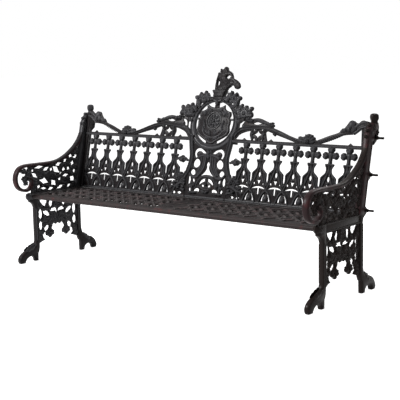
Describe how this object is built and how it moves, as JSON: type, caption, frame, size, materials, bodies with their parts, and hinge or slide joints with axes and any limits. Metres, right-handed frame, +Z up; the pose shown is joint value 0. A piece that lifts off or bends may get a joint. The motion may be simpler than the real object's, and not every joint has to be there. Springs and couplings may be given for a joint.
{
  "type": "garden bench",
  "caption": "Long cast iron garden bench with scrolled arms, a leaning openwork back with balusters, swags, shield and beast's head crest, and a pierced lattice seat.",
  "frame": {"origin": "on the floor, under the middle of the bench's overall box", "axes": "+X along the bench to the sitter's left, +Y towards the back, +Z up"},
  "size_m": [2.205, 0.7792, 1.1941],
  "materials": {
    "casting": "worn black paint",
    "bearer": "black paint",
    "fastener": "painted over"
  },
  "bodies": {
    "root": {"end_frame_right": "casting", "end_frame_left": "casting", "back_wing_right": "casting", "back_wing_left": "casting", "back_centre": "casting", "shield": "casting", "crest_head": "casting", "seat_panel_right": "casting", "seat_panel_left": "casting", "seat_bearer_front": "bearer", "seat_bearer_rear": "bearer", "shield_screws": "fastener", "crest_pin": "fastener", "seat_bolts_right": "fastener", "seat_bolts_left": "fastener", "seat_bolts_middle": "fastener", "seat_nuts_middle": "fastener", "back_studs_right": "fastener", "stud_nuts_right": "fastener", "back_bolts_left": "fastener", "joint_bolts_right": "fastener", "joint_bolts_left": "fastener"}
  },
  "joints": []
}
